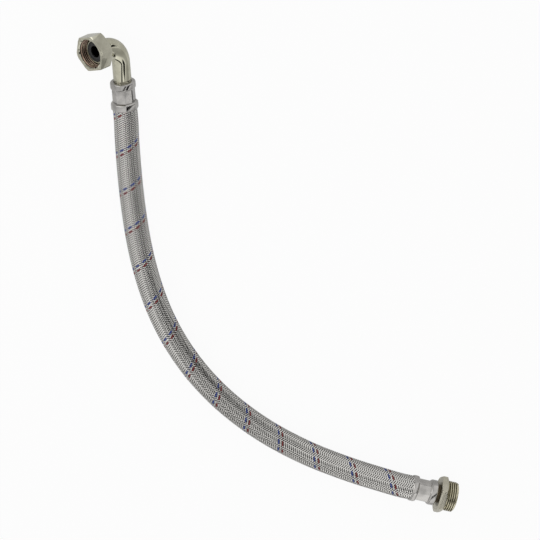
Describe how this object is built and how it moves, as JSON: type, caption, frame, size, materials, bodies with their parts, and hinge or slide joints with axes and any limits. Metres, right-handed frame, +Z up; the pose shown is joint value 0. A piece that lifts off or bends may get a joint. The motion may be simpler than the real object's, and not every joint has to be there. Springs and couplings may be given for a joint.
{
  "type": "flexible pump hose",
  "caption": "Braided flexible hose with crimped ends: a swivelling union nut on a bent pipe at one end and a fixed male thread at the other.",
  "frame": {"origin": "on the floor under the middle of the box round the hose as it lies", "axes": "+Y from the male fitting towards the bent pipe, along the pipe's leg; +X towards the male fitting's side; +Z up"},
  "size_m": [0.3798, 0.6214, 0.0593],
  "materials": {
    "braid": "woven stainless wire, satin",
    "hose_rubber": "matt black rubber",
    "ferrule_steel": "pressed stainless sheet, satin",
    "nickel_plate": "nickel-plated brass, polished",
    "seal_rubber": "matt black rubber",
    "plated_brass": "nickel-plated brass, satin"
  },
  "bodies": {
    "hose": {"braid_sleeve": "braid", "inner_tube": "hose_rubber", "ferrule_elbow_end": "ferrule_steel", "ferrule_male_end": "ferrule_steel", "elbow_pipe": "nickel_plate", "gasket": "seal_rubber", "male_fitting": "plated_brass"},
    "nut": {"union_nut": "nickel_plate"}
  },
  "joints": [
    {"name": "nut_swivel", "type": "hinge", "parent": "hose", "child": "nut", "pos_m": [-0.17751, 0.2894, 0.04324], "axis": [-0.788, 0, 0.6157], "continuous": true}
  ]
}
